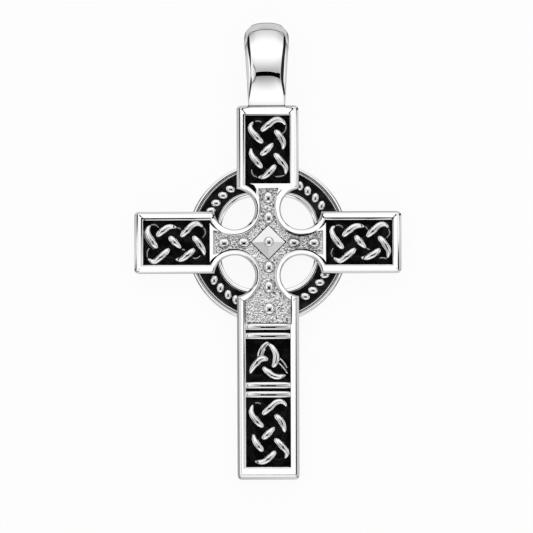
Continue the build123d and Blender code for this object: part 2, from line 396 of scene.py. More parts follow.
recesses = []
grooves = (("right", 0, 0.2, 0.2), ("top", 90, 0.0, 0.66), ("left", 180, 0.2, 0.2))
for name, angle, lower_gap, upper_gap in grooves:
    loop, widths = arm_recess(*panel_spans[name], lower_gap, upper_gap)
    recesses.append((turned(loop, angle), widths))
recesses.append(hub_recess(panel_spans["foot"][1]))

# Across the outer edge: how far in, in shares of the bevel's width, how far above the crest in the same
# widths, and a radius. It starts on the flat back and goes up the wall and the bevel to the crest.
DOWN_TO_BACK = -3.0
outer_edge = rounded([
    (0.7, DOWN_TO_BACK, 0), (0.28, DOWN_TO_BACK, 0), (0.0, -0.68, 0.1),
    (0.68, -0.155, 0.1), (0.98, 0.0, 0.01), (1.2, 0.0, 0),
])
inner_edge = [(0.0, PANEL_FLOOR)]
for step in range(EDGE_STEPS + 1):
    lean = math.radians(90 * step / EDGE_STEPS)
    inner_edge.append((1 - math.cos(lean), RAIL_CREST - EDGE_DROP * (1 - math.sin(lean))))
inner_edge.append((1.08, RAIL_CREST))

bm = bmesh.new()
rows = []
for share, drop in outer_edge:
    up = 0.0 if drop == DOWN_TO_BACK else RAIL_CREST + drop * sharp_widths[corner_of]
    rows.append(ring_of(bm, outline_inside(share), up))
# Below the crest the outer wall and bevel get the darker copy of the silver, which is painted shade. Where
# the bail stands on the top arm, the wall and lower bevel get the near-black silver, a painted shadow under
# the bail's foot.
from_top = np.arange(len(outline)) - len(outline) // 4
top_end = (from_top >= 1) & (from_top < 2 * TIP_STEPS + 2)
for step, (share, _) in enumerate(outer_edge[1:]):
    painted_shadow = top_end & (step > 1) & (share < 0.5)
    bridge(bm, rows[step], rows[step + 1], np.where(painted_shadow, PAINTED_DARK, PAINTED_SHADE if share < 0.9 else BRIGHT))
cap(bm, rows[0])
crest_rows = [rows[-1]]
for loop, widths in recesses:
    widths = soften(loop, widths)
    rows = [ring_of(bm, inset(loop, widths * share), up) for share, up in inner_edge]
    for lower, upper in zip(rows, rows[1:]):
        bridge(bm, lower, upper)
    cap(bm, rows[0])
    crest_rows.append(rows[-1])
cap(bm, *crest_rows)
plate = piece("plate", bm, [silver, painted_shade_silver, oxide_and_painted_dark])
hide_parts("cross")

# Joints: thin black lines in the mitres of the rails and where rails meet, left when the darkened casting is
# polished. Each is a sliver of the black that stands just proud of the crest. A point's third value is the
# line's width there.
JOINT_DEPTH, JOINT_PROUD = 0.4, 0.003


def slab(bm, loop, bottom, top):
    """A closed flat solid with the given plan outline, between two heights."""
    low, high = ring_of(bm, loop, bottom), ring_of(bm, loop, top)
    bridge(bm, low, high)
    cap(bm, low)
    cap(bm, high)


def enamel(name, thin, gloss):
    """Black enamel, faintly mottled. Thin is how grey it gets where it thins over the metal, and gloss how
    much its surface mirrors."""
    material, tree, place = started(name)
    mottle = node(tree, "ShaderNodeTexNoise", None, {"Vector": place, "Scale": 900.0, "Detail": 4.0})
    pits = node(tree, "ShaderNodeTexNoise", None, {"Vector": place, "Scale": 3200.0, "Detail": 2.0})
    bump = node(tree, "ShaderNodeBump", None, {
        "Strength": 0.5, "Distance": 0.00003, "Height": mottle + pits * 0.4})
    color = mixed(tree, mottle.ramp(0.45, 0.7), (0.0015, 0.0015, 0.0015, 1.0), (thin, thin, thin, 1.0))
    shader = node(tree, "ShaderNodeBsdfPrincipled", None, {
        "Base Color": color,
        "Roughness": mottle.ramp(0.3, 0.7, 0.25, 0.42),
        "Specular IOR Level": gloss,
        "Normal": bump,
    })
    node(tree, "ShaderNodeOutputMaterial", None, {"Surface": shader})
    return material


black = enamel("black_enamel", 0.014, 0.06)

JOINTS = [
    ((-2.84, 14.74, 0.2), (-2.66, 14.5, 0.08), (-2.42, 14.16, 0.16)),
    ((2.84, 14.74, 0.2), (2.6, 14.5, 0.08), (2.36, 14.16, 0.16)),
    ((-2.8, 14.76, 0.1), (-2.0, 14.86, 0.05)),
    ((2.8, 14.76, 0.1), (2.0, 14.86, 0.05)),
    ((-14.12, 3.02, 0.16), (-13.86, 2.8, 0.08), (-13.5, 2.5, 0.14)),
    ((14.14, 3.04, 0.2), (13.95, 2.84, 0.09), (13.64, 2.52, 0.18)),
    ((-14.2, -2.86, 0.05), (-14.12, -2.96, 0.09)),
    ((14.2, -2.84, 0.05), (14.12, -2.94, 0.09)),
    ((5.9, 3.08, 0.12), (6.05, 2.9, 0.09), (6.2, 2.66, 0.26)),
    ((-5.8, 3.08, 0.1), (-5.96, 2.9, 0.08), (-6.12, 2.66, 0.24)),
    ((-3.0, -6.22, 0.04), (-2.62, -6.5, 0.08)),
    ((3.0, -6.15, 0.04), (2.8, -6.42, 0.08)),
    ((2.56, -5.9, 0.1), (2.57, -7.4, 0.15), (2.56, -9.0, 0.1)),
    ((-2.53, -6.3, 0.08), (-2.54, -7.5, 0.12), (-2.53, -8.9, 0.08)),
]

# Lines round the armpit rails: the armpit's side to the east and north, radius, two angles, and width.
RAIL_LINES = [
    (1, 1, 2.9, -128, -50, 0.16), (1, 1, 3.02, 152, 134, 0.1), (-1, -1, 2.9, 152, 54, 0.16),
    (1, -1, 2.9, 118, 28, 0.17), (-1, 1, 2.9, -118, -146, 0.07), (-1, 1, 2.86, 22, -8, 0.06),
]
for east, north, radius, start, end, width in RAIL_LINES:
    line = arc((east * ARMPIT_OFFSET, north * ARMPIT_OFFSET), radius, start, end, 24)
    spread = width * np.sqrt(np.sin(np.linspace(0.04, math.pi - 0.04, len(line))))
    JOINTS.append(np.column_stack([line, spread]))
bm = bmesh.new()
for joint in JOINTS:
    places, spread = np.array(joint)[:, :2], np.array(joint)[:, 2]
    run = places[-1] - places[0]
    across = np.array([-run[1], run[0]]) / np.linalg.norm(run) * spread[:, None] / 2
    loop = np.concatenate([places + across, (places - across)[::-1]])
    slab(bm, loop, RAIL_CREST - JOINT_DEPTH, RAIL_CREST + JOINT_PROUD)
piece("joints", bm, [black])

# Ring: a band between two rims that joins the arms behind the open armpits. Cast with the plate, it lies
# lower than the arms' rails, and its two rims are rounded towards the sunk band between them.
RING_FLOOR, RING_CREST = 1.0, 1.9
RING_HIDE, RING_CLOSER, RING_MIDDLE = 0.3, 0.42, 6.8
RING_STEPS, RING_FILL_STEPS = 48, 32
QUARTERS = (0, 90, 180, 270)


def quarter_sweep(bm, profile, steps):
    """Sweeps a closed profile of radius and height round each gap between two arms, and into their sides.
    The inner rim curves more than the ring does, so it is nearer to the middle at its ends."""
    away = ARMPIT_OFFSET * math.sqrt(2)
    reach = ARMPIT_RADIUS + RING_HIDE
    halves = []
    for radius, _ in profile:
        radius -= RING_CLOSER if radius < RING_MIDDLE else 0
        half = math.pi / 4 - math.asin((ARM_HALF - RING_HIDE) / radius)
        if radius < away + reach:
            share = (radius ** 2 + away ** 2 - reach ** 2) / (2 * radius * away)
            half = max(half, math.acos(share))
        halves.append(half)
    for quarter in QUARTERS:
        rows = []
        for step in range(steps + 1):
            row = []
            for (radius, up), half in zip(profile, halves):
                turn = 2 * step / steps - 1
                angle = math.radians(quarter + 45) + half * turn
                radius -= RING_CLOSER * turn * turn if radius < RING_MIDDLE else 0
                row.append((radius * math.cos(angle) / 1000, radius * math.sin(angle) / 1000, up / 1000))
            rows.append([bm.verts.new(place) for place in row])
        for before, after in zip(rows, rows[1:]):
            bridge(bm, before, after)
        for row in (rows[0], rows[-1]):
            bm.faces.new(row)


bm = bmesh.new()
quarter_sweep(bm, rounded([
    (7.2, 0.0, 0), (8.9, 0.0, 0.08), (8.9, 1.84, 0.05), (8.79, RING_CREST, 0.1), (8.47, RING_CREST, 0.06),
    (8.43, 1.6, 0.01), (8.39, 1.6, 0.01), (8.38, 1.74, 0.02), (8.24, 1.74, 0.05),
    (8.2, RING_FLOOR, 0.02), (6.28, RING_FLOOR, 0.02), (6.28, RING_CREST, 0.05),
    (5.98, RING_CREST, 0.3), (5.78, 1.82, 0.05), (5.72, 1.66, 0.03), (5.72, 0.0, 0.08), (6.3, 0.0, 0),
]), RING_STEPS)
piece("ring", bm, [silver])

# Black fill of the ring's band: enamel run in between the rims, drawn up a little where it wets them. It is
# laid thinner than in the panels, and a thin line of it is left in the groove along the outer rim.
RING_FILL_TOP = 1.2
thin_black = enamel("thin_enamel", 0.03, 0.2)
bm = bmesh.new()
quarter_sweep(bm, [
    (8.24, 1.05), (8.24, RING_FILL_TOP + 0.05), (8.14, RING_FILL_TOP + 0.015), (8.0, RING_FILL_TOP),
    (6.42, RING_FILL_TOP), (6.34, RING_FILL_TOP + 0.015), (6.26, RING_FILL_TOP + 0.05), (6.26, 1.05),
], RING_FILL_STEPS)
quarter_sweep(bm, [(8.5, 1.5), (8.5, 1.72), (8.36, 1.72), (8.36, 1.5)], RING_STEPS)
ring_fill = piece("ring_fill", bm, [thin_black])
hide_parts("enamel_ring_ne", "enamel_ring_nw", "enamel_ring_sw", "enamel_ring_se")

# Ring beads: slanted oval grains in each quarter of the ring. They are cast with it, stand in its black, and
# are polished on top.
BEAD_CIRCLE, BEAD_SLANT = 7.2, 40.0
BEAD_ANGLES = (34.6, 43.3, 52.4, 60.6)
BEAD_SIZES = (1.1, 0.82, 0.5)


def group(name, inputs):
    """An empty node tree for repeated pieces, with a geometry input and output and the named values."""
    tree = bpy.data.node_groups.new(name, "GeometryNodeTree")
    tree.interface.new_socket("Geometry", in_out="INPUT", socket_type="NodeSocketGeometry")
    for label, kind in inputs.items():
        tree.interface.new_socket(label, in_out="INPUT", socket_type="NodeSocket" + kind)
    tree.interface.new_socket("Geometry", in_out="OUTPUT", socket_type="NodeSocketGeometry")
    given = tree.nodes.new("NodeGroupInput")
    return tree, {socket.name: Wire(tree, socket) for socket in given.outputs if socket.name}


def finish_group(tree, shape, material):
    """Ends a tree of repeated pieces: the copies are made real, shaded smooth and given their material."""
    real = node(tree, "GeometryNodeRealizeInstances", None, {"Geometry": shape})
    smooth = node(tree, "GeometryNodeSetShadeSmooth", None, {"Geometry": real})
    done = node(tree, "GeometryNodeSetMaterial", None, {"Geometry": smooth, "Material": material})
    out = tree.nodes.new("NodeGroupOutput")
    tree.links.new(done.socket, out.inputs[0])


def grown(name, source, tree, values):
    """Runs a tree on a mesh or curve with the given values, and makes the result a plain mesh piece with the
    material that the tree gives it.
    """
    seed = bpy.data.objects.new(name + "_seed", source)
    bpy.context.scene.collection.objects.link(seed)
    modifier = seed.modifiers.new("grow", "NODES")
    modifier.node_group = tree
    for item in tree.interface.items_tree:
        if item.in_out == "INPUT" and item.name in values:
            modifier[item.identifier] = values[item.name]
    evaluated = seed.evaluated_get(bpy.context.evaluated_depsgraph_get())
    mesh = bpy.data.meshes.new_from_object(evaluated)
    mesh.name = name
    bpy.data.objects.remove(seed)
    made = bpy.data.objects.new(name, mesh)
    bpy.context.scene.collection.objects.link(made)
    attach(made, "root")


bead_tree, given = group("beads", {
    "Length": "Float", "Width": "Float", "Height": "Float", "Material": "Material"})
turn = node(bead_tree, "GeometryNodeInputNamedAttribute", {"data_type": "FLOAT"}, {"Name": "turn"})
spin = node(bead_tree, "FunctionNodeAxisAngleToRotation", None, {"Axis": (0, 0, 1), "Angle": turn})
ball = node(bead_tree, "GeometryNodeMeshUVSphere", None, {"Segments": 40, "Rings": 24, "Radius": 0.5})
size = node(bead_tree, "ShaderNodeCombineXYZ", None, {
    "X": given["Length"], "Y": given["Width"], "Z": given["Height"]})
dots = node(bead_tree, "GeometryNodeMeshToPoints", None, {"Mesh": given["Geometry"]})
grains = node(bead_tree, "GeometryNodeInstanceOnPoints", None, {
    "Points": dots, "Instance": ball, "Rotation": spin, "Scale": size})
finish_group(bead_tree, grains, given["Material"])


def beads(name, places, length, width, height, level):
    """Oval grains at plan places of x, y and a turn in degrees, with their middles at the given level."""
    mesh = bpy.data.meshes.new(name + "_places")
    mesh.from_pydata([(x / 1000, y / 1000, level / 1000) for x, y, _ in places], [], [])
    turns = mesh.attributes.new("turn", "FLOAT", "POINT")
    turns.data.foreach_set("value", [math.radians(turn) for _, _, turn in places])
    values = {"Length": length / 1000, "Width": width / 1000, "Height": height / 1000, "Material": silver}
    grown(name, mesh, bead_tree, values)


places = []
for quarter in QUARTERS:
    for angle in BEAD_ANGLES:
        x, y = turned([(BEAD_CIRCLE, 0.0)], quarter + angle)[0]
        places.append((x, y, quarter + angle + BEAD_SLANT))
beads("ring_beads", places, *BEAD_SIZES, RING_FILL_TOP + 0.08)

# Panel fills: black enamel fired into the sunk panels and the wedge grooves, up to just under the rails. The
# foot arm's two panels and its grooves are one recess here, so one fill lies under them all.
ENAMEL_TOP, FILL_TUCK, FILL_SUNK, FOOT_FIELD = 1.55, 0.06, 0.1, -8.93


def panel_fill(name, rim):
    """A black fill with the given plan outline, from just under the panel's floor up."""
    bm = bmesh.new()
    slab(bm, rim, PANEL_FLOOR - FILL_SUNK, ENAMEL_TOP)
    return piece("fill_" + name, bm, [black])


for name, (loop, _) in zip(("right", "top", "left"), recesses):
    fill = panel_fill(name, inset(loop, FILL_TUCK))
    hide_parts("enamel_" + name)
half, foot_end = PANEL_HALF + FILL_TUCK, -panel_spans["foot"][1] - FILL_TUCK
fill = panel_fill("foot", [(-half, FOOT_FIELD), (-half, foot_end), (half, foot_end), (half, FOOT_FIELD)])
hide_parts("enamel_foot", "enamel_triquetra", "enamel_groove_upper", "enamel_groove_lower")

# Knots: ridged strands that rise out of the enamel where they pass over another and dive where they pass
# under, so that each shows as a row of tapered leaves. Cast with the plate and polished on top. Their low
# stretches stay black, with fine shining lines where the polish has just touched them.
KNOT_LEVEL, UNDER_SINK, SHINE_RISE = 1.66, 0.02, 0.03
KNOT_BAR = {
    "width": 0.84, "height": 0.52, "dive": 0.24, "arch": 2.4, "peak": 0.36, "bluntness": 2.2, "ridge": 1.0}
UNDER_BAR = {"width": 0.62, "height": 0.16, "dive": 0.02, "arch": 2.0, "peak": 0.5, "bluntness": 20.0}
SHINE_BAR = {"width": 0.16, "height": 0.14, "dive": 0.03, "arch": 2.0, "peak": 0.5, "bluntness": 4.0}
RIDGE_ROUND, RIDGE_SLOPE, SIDE_STEEP = 0.2, 0.92, 1.6
RIDGED_SIDES, ROUND_SIDES, ALONG_STEPS = 64, 32, 48

# Each leaf's middle line, from the middle of its panel.
KNOTS = {
    "left": [
        [(-2.14, -0.55), (-2.66, 0.15), (-3.1, 0.95), (-3.12, 1.55), (-2.78, 1.98)],
        [(-2.12, 0.76), (-1.5, 1.34), (-0.8, 1.74), (0.1, 1.72)],
        [(0.49, 0.7), (1.16, 1.37), (1.86, 2.0), (2.42, 2.08), (2.98, 1.7)],
        [(-0.74, 0.62), (-0.1, 0.0), (0.55, -0.64)],
        [(1.84, 0.68), (2.42, 0.04), (2.91, -0.73), (3.14, -1.45)],
        [(-0.8, -0.67), (-1.79, -1.59), (-2.56, -2.04), (-3.2, -1.66)],
        [(1.95, -0.71), (1.23, -1.34), (0.53, -1.8), (-0.2, -1.82)],
    ],
    "right": [
        [(-1.77, -0.66), (-2.4, 0.05), (-2.92, 0.9), (-2.98, 1.5), (-2.58, 1.86)],
        [(-1.78, 0.7), (-1.14, 1.31), (-0.36, 1.78), (0.66, 1.76)],
        [(0.84, 0.63), (1.67, 1.42), (2.37, 1.94), (2.95, 1.9), (3.24, 1.52)],
        [(-0.38, 0.66), (0.1, 0.04), (0.78, -0.67)],
        [(2.14, 0.62), (2.79, -0.13), (3.19, -0.9), (3.12, -1.8)],
        [(-0.43, -0.7), (-1.49, -1.6), (-2.19, -2.0), (-2.9, -1.62)],
        [(2.25, -0.77), (1.67, -1.25), (0.97, -1.63), (0.12, -1.72)],
    ],
    "top": [
        [(-0.55, 0.8), (-1.35, 1.6), (-1.88, 2.5), (-1.56, 3.2)],
        [(-0.7, 2.1), (0.11, 2.8), (0.95, 3.33), (1.52, 3.26), (2.06, 2.7)],
        [(0.83, 2.14), (1.38, 1.52), (1.72, 0.82), (1.68, -0.02)],
        [(-0.68, -0.5), (-0.02, 0.08), (0.69, 0.84)],
        [(-0.64, -1.93), (-1.27, -1.2), (-1.76, -0.48), (-1.85, 0.32)],
        [(0.76, -0.4), (1.43, -1.16), (1.96, -1.9), (1.98, -2.75)],
        [(0.83, -1.68), (0.32, -2.32), (-0.31, -2.86), (-1.12, -3.05)],
    ],
    "foot": [
        [(-0.6, 0.6), (-1.38, 1.36), (-1.86, 2.25), (-1.68, 3.15)],
        [(-0.64, 1.96), (0.27, 2.8), (1.1, 3.38), (1.7, 3.26), (2.04, 2.78)],
        [(0.78, 1.88), (1.48, 1.12), (1.85, -0.1)],
        [(-0.58, -0.66), (0.09, -0.05), (0.75, 0.63)],
        [(-0.66, -2.03), (-1.44, -1.0), (-1.72, -0.12)],
        [(0.72, -0.74), (1.56, -1.58), (2.02, -2.3), (1.78, -2.94)],
        [(0.76, -2.11), (0.15, -2.77), (-0.57, -3.22), (-1.56, -3.2)],
    ],
}

# The low stretches between the leaves, and the fine shining lines.
UNDER_PATHS = {
    "left": [
        [(-2.78, 1.96), (-2.2, 2.06), (-1.5, 1.4), (-0.8, 0.7)],
        [(0.0, 1.72), (0.7, 1.6), (1.3, 1.15), (1.86, 0.66)],
        [(2.95, 1.72), (3.25, 1.1), (2.7, 0.1), (1.95, -0.7)],
        [(-2.1, 0.75), (-2.8, 0.05), (-3.25, -0.85), (-3.15, -1.66)],
        [(0.5, 0.7), (-0.1, 0.05), (-0.78, -0.66)],
        [(-2.14, -0.55), (-1.6, -1.15), (-0.9, -1.75), (-0.15, -1.82)],
        [(0.55, -0.64), (1.2, -1.3), (2.1, -2.02), (2.8, -1.95), (3.14, -1.4)],
    ],
    "right": [
        [(-2.6, 1.84), (-2.05, 1.9), (-1.2, 1.35), (-0.4, 0.66)],
        [(0.6, 1.78), (1.15, 1.55), (1.65, 1.1), (2.16, 0.6)],
        [(3.22, 1.55), (3.4, 0.9), (2.9, 0.0), (2.25, -0.76)],
        [(-1.78, 0.7), (-2.5, 0.0), (-3.05, -0.85), (-2.9, -1.6)],
        [(0.84, 0.63), (0.2, 0.0), (-0.43, -0.7)],
        [(-1.77, -0.66), (-1.3, -1.2), (-0.5, -1.7), (0.15, -1.72)],
        [(0.78, -0.67), (1.5, -1.3), (2.3, -1.95), (2.9, -2.0), (3.12, -1.7)],
    ],
    "top": [
        [(-1.56, 3.18), (-1.0, 3.2), (-0.2, 2.7), (0.83, 2.14)],
        [(2.04, 2.72), (1.95, 1.9), (1.3, 1.2), (0.69, 0.84)],
        [(-0.7, 2.1), (-1.4, 1.5), (-2.0, 0.9), (-1.85, 0.3)], [(-0.55, 0.8), (0.1, 0.2), (0.76, -0.4)],
        [(1.68, 0.0), (1.5, -0.6), (0.83, -1.68)],
        [(-0.68, -0.5), (-1.2, -1.1), (-1.85, -1.9), (-1.7, -2.7), (-1.1, -3.05)],
        [(-0.64, -1.93), (0.0, -2.5), (0.8, -3.05), (1.5, -3.1), (1.98, -2.7)],
    ],
    "foot": [
        [(-1.68, 3.13), (-1.1, 3.25), (-0.2, 2.6), (0.78, 1.88)],
        [(2.02, 2.8), (2.05, 1.9), (1.5, 1.2), (0.75, 0.63)],
        [(-0.64, 1.96), (-1.3, 1.3), (-1.95, 0.6), (-1.72, -0.14)],
        [(-0.6, 0.6), (0.1, 0.0), (0.72, -0.74)], [(1.85, -0.1), (1.6, -0.9), (0.76, -2.11)],
        [(-0.58, -0.66), (-1.2, -1.2), (-1.95, -2.1), (-1.52, -3.2)],
        [(-0.66, -2.03), (0.1, -2.6), (1.0, -3.2), (1.78, -2.94)],
    ],
}
SHINE_LINES = {
    "left": [
        [(-3.62, 1.36), (-3.46, 0.66), (-3.02, -0.1), (-2.44, -0.7)],
        [(-2.84, 1.99), (-2.35, 2.0), (-1.9, 1.66)], [(2.98, 1.7), (3.2, 1.15), (2.86, 0.5)],
        [(-3.2, -1.66), (-3.2, -0.95), (-2.96, -0.5)], [(1.75, -1.65), (2.2, -1.7), (2.66, -1.4)],
        [(0.1, 1.7), (0.52, 1.5)], [(0.6, -0.7), (0.95, -0.82)],
    ],
    "right": [
        [(-2.6, 1.88), (-2.1, 1.86), (-1.74, 1.58)], [(3.24, 1.5), (3.34, 0.98), (3.0, 0.45)],
        [(-2.92, -1.62), (-3.08, -1.18), (-2.85, -0.55)], [(3.05, -1.8), (2.5, -1.7), (2.16, -1.76)],
        [(0.66, 1.76), (0.98, 1.42)], [(0.8, -0.66), (1.18, -0.82)],
    ],
    "top": [
        [(-2.18, 2.66), (-1.92, 1.85), (-1.36, 1.15), (-0.72, 0.68)],
        [(-1.12, -3.0), (-1.6, -2.74), (-1.8, -2.05)], [(2.06, 2.7), (1.92, 2.1), (1.58, 1.78)],
        [(0.8, -2.93), (1.35, -2.9), (1.9, -2.78)], [(-1.4, 3.16), (-1.0, 3.2), (-0.6, 3.06)],
    ],
    "foot": [
        [(-1.5, 3.22), (-1.1, 3.25), (-0.75, 3.1)],
    ],
}

tree, given = group("strands", {
    "Width": "Float", "Height": "Float", "Dive": "Float", "Lean": "Float", "Arch": "Float",
    "Bluntness": "Float", "Ridge": "Float", "Sides": "Int", "Material": "Material"})
along = node(tree, "GeometryNodeSplineParameter")
from_middle = abs(along ** given["Lean"] * 2.0 - 1.0)
fullness = (1.0 - from_middle ** given["Bluntness"] + 0.0001) ** 0.5
fine = node(tree, "GeometryNodeResampleCurve", None, {"Curve": given["Geometry"], "Count": ALONG_STEPS})
upright = node(tree, "GeometryNodeSetCurveNormal", {"mode": "Z_UP"}, {"Curve": fine})
drop = node(tree, "ShaderNodeCombineXYZ", None, {"Z": from_middle ** given["Arch"] * given["Dive"] * -1.0})
laid = node(tree, "GeometryNodeSetPosition", None, {"Geometry": upright, "Offset": drop})
round_bar = node(tree, "GeometryNodeCurvePrimitiveCircle", None, {
    "Resolution": given["Sides"], "Radius": 0.5})
spot = node(tree, "GeometryNodeInputPosition")
spot_parts = node(tree, "ShaderNodeSeparateXYZ", None, {"Vector": spot})
beside, up = (Wire(tree, spot_parts.socket.node.outputs[i]) for i in range(2))
roof = 0.5 - ((beside * beside + RIDGE_ROUND ** 2) ** 0.5 - RIDGE_ROUND) * RIDGE_SLOPE
roofed = up.math("MINIMUM", up * SIDE_STEEP, roof)
ridged = node(tree, "ShaderNodeCombineXYZ", None, {"X": beside, "Y": up + (roofed - up) * given["Ridge"]})
ridged_bar = node(tree, "GeometryNodeSetPosition", None, {"Geometry": round_bar, "Position": ridged})
section = node(tree, "ShaderNodeCombineXYZ", None, {"X": given["Width"], "Y": given["Height"], "Z": 1.0})
flat_bar = node(tree, "GeometryNodeTransform", None, {"Geometry": ridged_bar, "Scale": section})
bars = node(tree, "GeometryNodeCurveToMesh", None, {
    "Curve": laid, "Profile Curve": flat_bar, "Scale": fullness, "Fill Caps": True})
finish_group(tree, bars, given["Material"])
strand_tree = tree


def strands(name, lines, level, material, width, height, dive, arch, peak, bluntness, ridge=0.0):
    """Tapered bars along smooth lines of plan points. Their middles lie at the given level at the peak's
    share of their length, and dive towards both ends."""
    curve = bpy.data.curves.new(name + "_lines", "CURVE")
    curve.dimensions = "3D"
    curve.resolution_u = 16
    for line in lines:
        spline = curve.splines.new("BEZIER")
        spline.bezier_points.add(len(line) - 1)
        for point, (x, y) in zip(spline.bezier_points, line):
            point.co = (x / 1000, y / 1000, level / 1000)
            point.handle_left_type = point.handle_right_type = "AUTO"
    grown(name, curve, strand_tree, {
        "Width": width / 1000, "Height": height / 1000, "Dive": dive / 1000, "Arch": arch,
        "Lean": math.log(0.5) / math.log(peak), "Bluntness": bluntness, "Ridge": ridge,
        "Sides": RIDGED_SIDES if ridge else ROUND_SIDES, "Material": material,
    })


def placed(lines, panel):
    """Lines moved from the origin to the middle of an arm's black panel."""
    low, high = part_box("enamel_" + panel)
    return [np.array(line) + ((low.x + high.x) * 500, (low.y + high.y) * 500) for line in lines]


oxidised = metal("oxidised_silver", (0.45, 0.45, 0.46, 1.0), 0.2, 9000.0, 0.00002)
for name in KNOTS:
    strands("knot_" + name, placed(KNOTS[name], name), KNOT_LEVEL, silver, **KNOT_BAR)
    strands("under_" + name, placed(UNDER_PATHS[name], name), ENAMEL_TOP - UNDER_SINK, oxide_and_painted_dark, **UNDER_BAR)
    strands("shine_" + name, placed(SHINE_LINES[name], name), ENAMEL_TOP + SHINE_RISE, oxidised, **SHINE_BAR)

# Triquetra: three pointed loops woven into one another, raised out of the enamel like the knots and cast with
# the plate. Where a loop passes under another it is low and black.
TRIQUETRA_LEVEL = 1.64
TRIQUETRA_BAR = {
    "width": 0.84, "height": 0.52, "dive": 0.2, "arch": 2.4, "peak": 0.4, "bluntness": 2.2, "ridge": 1.0}
TRIQUETRA_HIGH = [
    [(0.5, -0.76), (0.8, -0.14), (0.88, 0.57), (0.52, 1.4), (-0.04, 2.0)],
    [(0.0, 0.12), (-0.69, 0.21), (-1.38, -0.36), (-1.8, -0.98), (-2.02, -1.5)],
    [(-0.6, -0.72), (0.02, -1.31), (0.86, -1.78), (1.98, -1.6)],
]
TRIQUETRA_LEFT = [[(0.02, 2.06), (-0.7, 1.3), (-1.08, 0.32)]]
TRIQUETRA_SHINE = [
    [(1.16, 0.35), (1.66, -0.14), (2.08, -0.84)], [(1.16, -0.25), (1.68, -0.8), (2.14, -1.44)],
    [(-0.32, 1.34), (-0.52, 0.92), (-0.6, 0.56)],
]
TRIQUETRA_UNDER = [[(-2.02, -1.62), (-1.3, -1.85), (-0.5, -1.6)], [(1.1, 0.1), (1.72, -0.5), (2.1, -1.3)]]
strands("triquetra_high", placed(TRIQUETRA_HIGH, "triquetra"), TRIQUETRA_LEVEL, silver, **TRIQUETRA_BAR)
for name, lines, width, rise, material in (
        ("left", TRIQUETRA_LEFT, 0.5, 0.05, silver),
        ("shine", TRIQUETRA_SHINE, 0.18, SHINE_RISE, silver),
        ("under", TRIQUETRA_UNDER, 0.6, -UNDER_SINK, oxide_and_painted_dark)):
    low_bar = {"width": width, "height": 0.16, "dive": 0.03, "arch": 2.0, "peak": 0.5, "bluntness": 5.0}
    strands("triquetra_" + name, placed(lines, "triquetra"), ENAMEL_TOP + rise, material, **low_bar)

# Crossbars: two pairs of half-round bars across the foot arm, with a black line between the two of a pair.
# Cast with the plate, they run from rail to rail, and their tops are polished.
BAR_REACHES, BAR_LEVEL, BAR_HALF = (-9.27, -10.27, -15.71, -16.71), 2.02, 2.6
CROSSBAR = {"width": 0.7, "height": 0.3, "dive": 0.42, "arch": 1.6, "peak": 0.44, "bluntness": 20.0}
lines = [[(-BAR_HALF, y), (-0.9, y), (0.9, y), (BAR_HALF, y)] for y in BAR_REACHES]
strands("crossbars", lines, BAR_LEVEL, silver, **CROSSBAR)

# Hub field: a sunk ground with a plain edge, between the armpits and down into the foot arm. It is cast with
# the plate, punched all over with a fine tool, left bright, and has a shallow moat round each bead.
FIELD_LEVEL, FIELD_EDGE, FIELD_FOOT, TRAY_FLOOR = 1.66, 0.13, 9.06, 1.25
FIELD_PITCH, FIELD_ACROSS, FIELD_UP, FIELD_DOWN = 0.05, 120, 120, 182
MOAT_DEPTH, MOAT_REACH, MOAT_BANK = 0.1, 0.72, 0.15
BEAD_PLACES = [
    (0.05, 4.96), (0.08, 2.75), (0.1, -2.68), (0.1, -4.88), (0.13, -7.28),
    (-4.83, -0.03), (-2.66, 0.0), (2.87, 0.0), (5.05, -0.05),
]
edge_loop = hub_recess(FIELD_FOOT)[0]
tucked = inset(edge_loop, 0.05)
field_loop = inset(edge_loop, -FIELD_EDGE)
bm = bmesh.new()
rows = [ring_of(bm, loop, up) for loop, up in (
    (tucked, TRAY_FLOOR), (tucked, FIELD_LEVEL + 0.07),
    (field_loop, FIELD_LEVEL + 0.07), (field_loop, FIELD_LEVEL - 0.12))]
for lower, upper in zip(rows, rows[1:]):
    bridge(bm, lower, upper)
cap(bm, rows[0])
cap(bm, rows[-1])
piece("hub_tray", bm, [silver])

count = len(field_loop)
plan = [Vector(point) for point in field_loop]
margin = inset(edge_loop, -FIELD_EDGE - 0.02)
for i in range(-FIELD_ACROSS, FIELD_ACROSS + 1):
    for j in range(-FIELD_DOWN, FIELD_UP):
        x, y = i * FIELD_PITCH, j * FIELD_PITCH
        if inside((x, y), margin):
            plan.append(Vector((x, y)))
edges = [(i, (i + 1) % count) for i in range(count)]
places, _, faces, _, _, _ = delaunay_2d_cdt(plan, edges, [], 1, 1e-6)
verts = []
for place in places:
    apart = min(math.hypot(place.x - x, place.y - y) for x, y in BEAD_PLACES)
    moat = MOAT_DEPTH * min(1.0, max(0.0, (MOAT_REACH - apart) / MOAT_BANK))
    verts.append((place.x / 1000, place.y / 1000, (FIELD_LEVEL - moat) / 1000))
field_mesh = bpy.data.meshes.new("field_ground")
field_mesh.from_pydata(verts, [], faces)
tree, given = group("stipple", {"Grain": "Float", "Depth": "Float", "Material": "Material"})
place = node(tree, "GeometryNodeInputPosition")
cells = node(tree, "ShaderNodeTexVoronoi", {"feature": "F1"}, {
    "Vector": place, "Scale": given["Grain"], "Randomness": 1.0})
cloud = node(tree, "ShaderNodeTexNoise", None, {
    "Vector": place, "Scale": given["Grain"] * 0.6, "Detail": 2.0})
lift = (0.5 - cells + (cloud - 0.5) * 1.2) * given["Depth"]
offset = node(tree, "ShaderNodeCombineXYZ", None, {"Z": lift})
top = node(tree, "GeometryNodeSetPosition", None, {"Geometry": given["Geometry"], "Offset": offset})
finish_group(tree, top, given["Material"])
